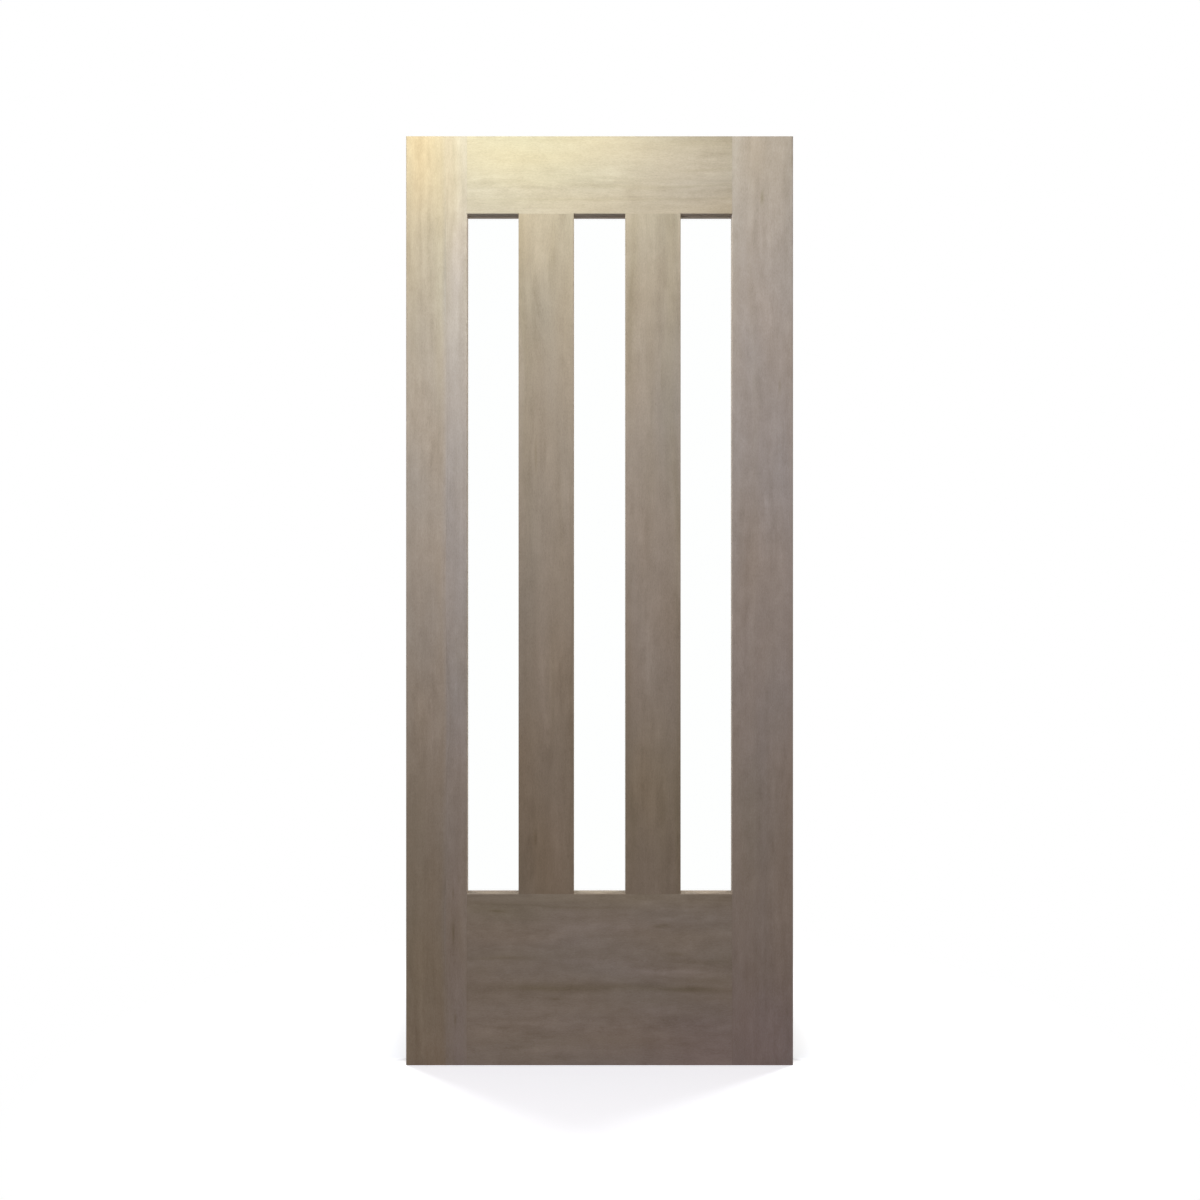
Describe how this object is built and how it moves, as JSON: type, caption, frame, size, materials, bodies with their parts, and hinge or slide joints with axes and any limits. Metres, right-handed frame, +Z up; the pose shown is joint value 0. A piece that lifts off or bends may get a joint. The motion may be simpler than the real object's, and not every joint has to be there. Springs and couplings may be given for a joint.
{
  "type": "glazed door leaf",
  "caption": "Timber door leaf with tall narrow glazed lights between two mullions, a deep bottom rail and square-edged members; glass held from the back by mitred beads.",
  "frame": {"origin": "foot of the hinge edge, halfway through the leaf's thickness", "axes": "+X across the leaf from the hinge edge to the lock edge, +Y from the front face to the back face, +Z up"},
  "size_m": [0.85, 0.04, 2.04],
  "materials": {
    "timber": "pale brown-grey hardwood with a fine straight grain, oiled, low sheen",
    "bead_timber": "the same hardwood in thin mitred strips",
    "clear_glass": "clear, polished faces with ground edges",
    "glazing_tape": "brown foam strip"
  },
  "bodies": {
    "root": {"left_stile": "timber", "right_stile": "timber", "top_rail": "timber", "bottom_rail": "timber", "left_mullion": "timber", "right_mullion": "timber", "left_light_glass": "clear_glass", "centre_light_glass": "clear_glass", "right_light_glass": "clear_glass", "left_light_front_tape": "glazing_tape", "left_light_back_tape": "glazing_tape", "centre_light_front_tape": "glazing_tape", "centre_light_back_tape": "glazing_tape", "right_light_front_tape": "glazing_tape", "right_light_back_tape": "glazing_tape", "left_light_left_bead": "bead_timber", "left_light_top_bead": "bead_timber", "left_light_right_bead": "bead_timber", "left_light_bottom_bead": "bead_timber", "centre_light_left_bead": "bead_timber", "centre_light_top_bead": "bead_timber", "centre_light_right_bead": "bead_timber", "centre_light_bottom_bead": "bead_timber", "right_light_left_bead": "bead_timber", "right_light_top_bead": "bead_timber", "right_light_right_bead": "bead_timber", "right_light_bottom_bead": "bead_timber"}
  },
  "joints": []
}
